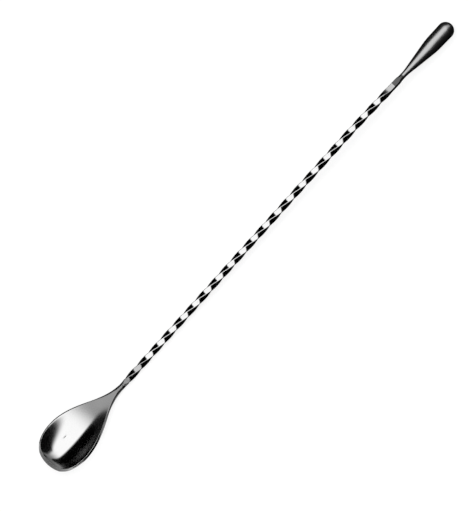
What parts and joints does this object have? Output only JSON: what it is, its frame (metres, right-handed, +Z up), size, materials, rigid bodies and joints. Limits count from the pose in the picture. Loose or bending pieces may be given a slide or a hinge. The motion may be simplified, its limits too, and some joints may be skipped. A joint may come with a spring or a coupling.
{
  "type": "bar spoon",
  "caption": "Long steel bar spoon with an egg-shaped bowl, a twisted square stem and a solid teardrop weight at the far end.",
  "frame": {"origin": "middle of the bounding box's base: the spoon lies on the plane z = 0, on the bowl's underside and on the weight", "axes": "+X along the spoon from the bowl to the weight, +Z up, out of the bowl's hollow, +Y across the bowl"},
  "size_m": [0.3298, 0.0296, 0.0102],
  "materials": {
    "polished_bowl": "stainless steel, polished inside with faint wipe marks",
    "polished_stem": "stainless steel, bright polished",
    "satin_weight": "stainless steel, fine satin",
    "weld_steel": "weld metal, ground and polished flush"
  },
  "bodies": {
    "root": {"spoon_bowl": "polished_bowl", "neck_weld": "weld_steel", "twisted_stem": "polished_stem", "weight_weld": "weld_steel", "teardrop_weight": "satin_weight"}
  },
  "joints": []
}
